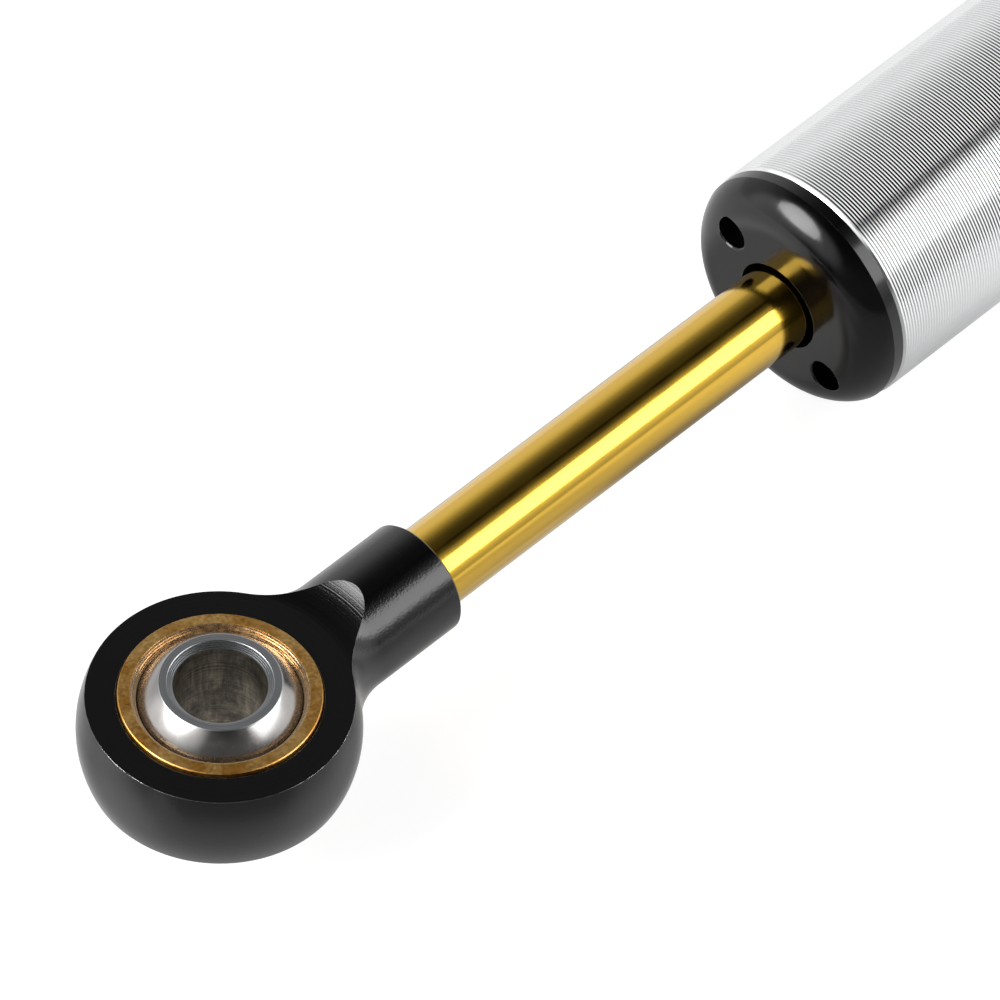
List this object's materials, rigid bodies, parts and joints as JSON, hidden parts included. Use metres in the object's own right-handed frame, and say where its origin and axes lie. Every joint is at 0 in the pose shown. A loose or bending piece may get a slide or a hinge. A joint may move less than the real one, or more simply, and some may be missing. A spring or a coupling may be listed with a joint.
{
  "type": "motorcycle steering damper",
  "caption": "Linear steering damper with a spherical rod end, gold through-rod, ringed silver body, black end caps and a click adjuster knob.",
  "frame": {"origin": "centre of the bearing ball in the eye, on the axis of its bolt hole", "axes": "+X runs along the rod from the eye to the damper body and the knob, +Z is the axis of the eye's bolt hole, +Y completes the right-handed frame"},
  "size_m": [0.2724, 0.0242, 0.0232],
  "materials": {
    "black_anodised_eye": "satin black anodised",
    "gloss_black_cap": "gloss black anodised",
    "turned_aluminium": "fine turned rings",
    "gold_rod": "polished gold coating",
    "bronze_race": "machined, matte",
    "bearing_steel": "ground steel",
    "plain_aluminium": "machined",
    "ptfe_band": "smooth",
    "seal_rubber": "matte",
    "bump_urethane": "matte",
    "spring_steel": "phosphated",
    "bush_bronze": "plain",
    "brass": "machined",
    "needle_steel": "ground"
  },
  "bodies": {
    "damper_body": {"body_tube": "turned_aluminium", "front_cap": "gloss_black_cap", "rear_cap": "gloss_black_cap", "front_rod_guide": "plain_aluminium", "rear_rod_guide": "plain_aluminium", "front_bush": "bush_bronze", "rear_bush": "bush_bronze", "front_rod_seal": "seal_rubber", "rear_rod_seal": "seal_rubber", "front_seal_washer": "spring_steel", "rear_seal_washer": "spring_steel", "front_wiper": "seal_rubber", "rear_wiper": "seal_rubber", "front_guide_ring_seal": "seal_rubber", "rear_guide_ring_seal": "seal_rubber", "front_bump_stop": "bump_urethane", "rear_bump_stop": "bump_urethane"},
    "band": {"piston_band": "ptfe_band"},
    "rod": {"rod_end_housing": "black_anodised_eye", "bearing_race": "bronze_race", "piston_rod": "gold_rod", "piston": "plain_aluminium", "piston_ring_seal": "seal_rubber", "front_shim": "spring_steel", "rear_shim": "spring_steel", "front_piston_clip": "spring_steel", "rear_piston_clip": "spring_steel", "needle_seat": "brass", "adjuster_housing": "black_anodised_eye", "knob_snap_ring": "spring_steel", "detent_ball": "bearing_steel", "detent_spring": "spring_steel"},
    "ball": {"bearing_ball": "bearing_steel"},
    "knob": {"adjuster_knob": "gloss_black_cap", "knob_thread_insert": "brass"},
    "needle": {"metering_needle": "needle_steel", "needle_ring_seals": "seal_rubber"}
  },
  "joints": [
    {"name": "rod_slide", "type": "slide", "parent": "damper_body", "child": "band", "axis": [1, 0, 0], "range_m": [-0.0375, 0.0375]},
    {"name": "rod_turn", "type": "hinge", "parent": "band", "child": "rod", "pos_m": [0.133, 0, 0], "axis": [1, 0, 0], "continuous": true},
    {"name": "ball_tilt", "type": "hinge", "parent": "rod", "child": "ball", "pos_m": [0, 0, 0], "axis": [0, 1, 0], "range_deg": [-13, 13]},
    {"name": "knob_turn", "type": "hinge", "parent": "rod", "child": "knob", "pos_m": [0.2423, 0, 0], "axis": [1, 0, 0], "range_deg": [-150, 150]},
    {"name": "needle_slide", "type": "slide", "parent": "rod", "child": "needle", "axis": [1, 0, 0], "range_m": [-0.000333, 0.000333]}
  ],
  "couplings": [
    {"joint": "knob_turn", "follows": "needle_slide", "rad_per_m": 7854}
  ]
}
